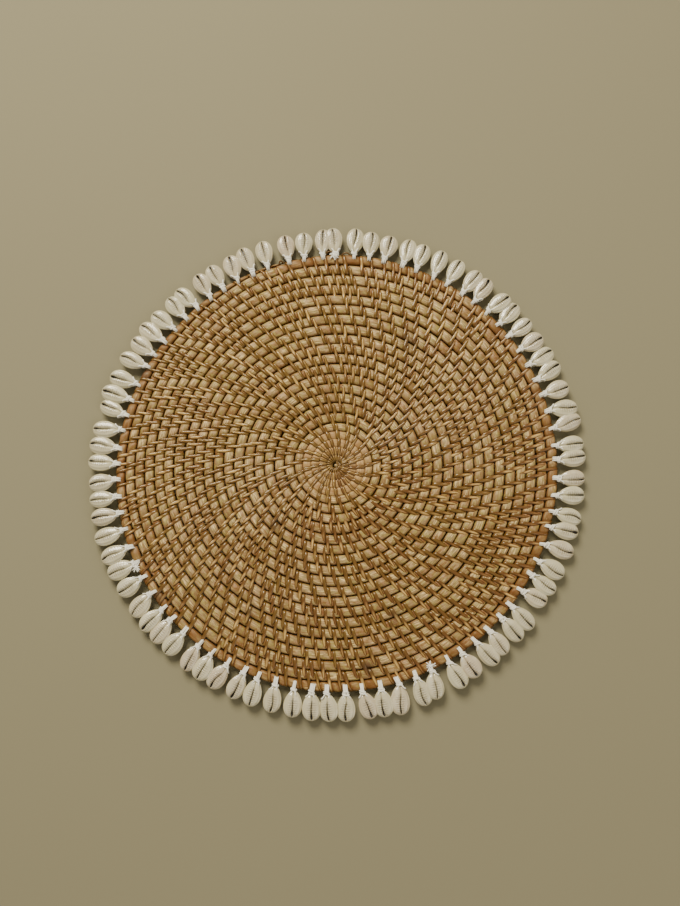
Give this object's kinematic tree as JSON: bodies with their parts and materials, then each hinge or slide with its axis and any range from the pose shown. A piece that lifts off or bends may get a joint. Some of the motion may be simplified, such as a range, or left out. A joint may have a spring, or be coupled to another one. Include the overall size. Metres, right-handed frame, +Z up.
{
  "type": "round rattan placemat",
  "caption": "Round placemat of coiled rattan bound with peel strips, edged all round with cowrie shells tied on with white cotton thread.",
  "frame": {"origin": "middle of the mat's flat underside, on the surface it lies on", "axes": "+Z up, out of the woven face; +Y towards the edge that stands on top when the mat is leant up; +X to the right seen from above"},
  "size_m": [0.3429, 0.3438, 0.0083],
  "materials": {
    "rattan": "natural rattan, tan cane core under glossy golden-brown peel strips",
    "cowrie": "glossy off-white cowrie shell with a dark toothed mouth",
    "cotton": "matt white cotton thread, several strands together"
  },
  "bodies": {
    "root": {"rattan_mat": "rattan", "cowrie_run_01": "cowrie", "cowrie_run_02": "cowrie", "cowrie_run_03": "cowrie", "cowrie_run_04": "cowrie", "cowrie_run_05": "cowrie", "cowrie_run_06": "cowrie", "cowrie_run_07": "cowrie", "cowrie_run_08": "cowrie", "cowrie_run_09": "cowrie", "cowrie_run_10": "cowrie", "cowrie_run_11": "cowrie", "cowrie_run_12": "cowrie", "cowrie_run_13": "cowrie", "cowrie_run_14": "cowrie", "cowrie_run_15": "cowrie", "cowrie_run_16": "cowrie", "cowrie_run_17": "cowrie", "cowrie_run_18": "cowrie", "cowrie_run_19": "cowrie", "cowrie_run_20": "cowrie", "cowrie_run_21": "cowrie", "cowrie_run_22": "cowrie", "cowrie_run_23": "cowrie", "cowrie_run_24": "cowrie", "cowrie_run_25": "cowrie", "cowrie_run_26": "cowrie", "cowrie_run_27": "cowrie", "edging_thread": "cotton"}
  },
  "joints": []
}
